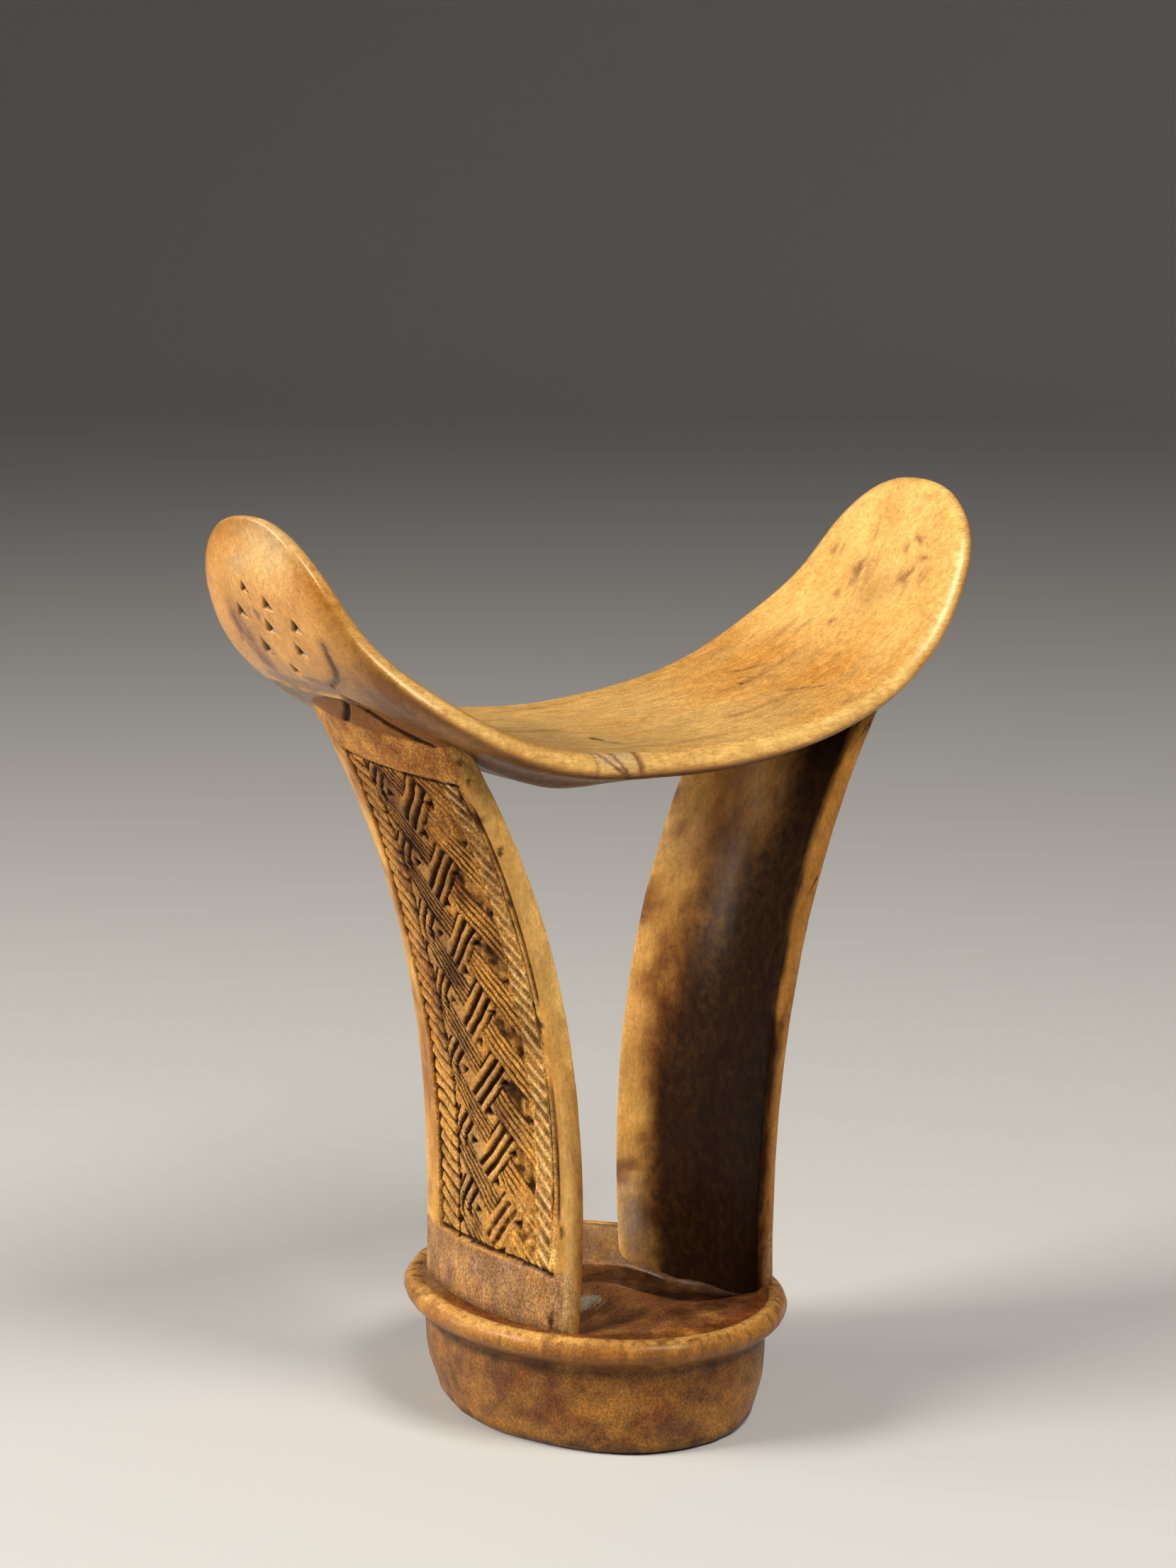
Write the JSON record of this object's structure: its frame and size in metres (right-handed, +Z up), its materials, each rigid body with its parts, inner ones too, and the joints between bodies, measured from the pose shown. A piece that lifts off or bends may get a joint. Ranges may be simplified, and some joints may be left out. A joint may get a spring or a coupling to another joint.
{
  "type": "headrest",
  "caption": "Carved wooden headrest: a curved neck rest on two flaring, carved posts over an oval base with a rounded rim.",
  "frame": {"origin": "bottom centre of the foot, on the surface that the headrest stands on", "axes": "+X along the neck rest from its left tip to its right one, +Y from front to back, +Z up"},
  "size_m": [0.1638, 0.0812, 0.18],
  "materials": {
    "polished_wood": "polished by handling, honey brown",
    "carved_wood": "waxed, dark in the carving",
    "base_wood": "waxed, mottled brown"
  },
  "bodies": {
    "root": {"neck_rest": "polished_wood", "left_post": "carved_wood", "right_post": "carved_wood", "base": "base_wood"}
  },
  "joints": []
}
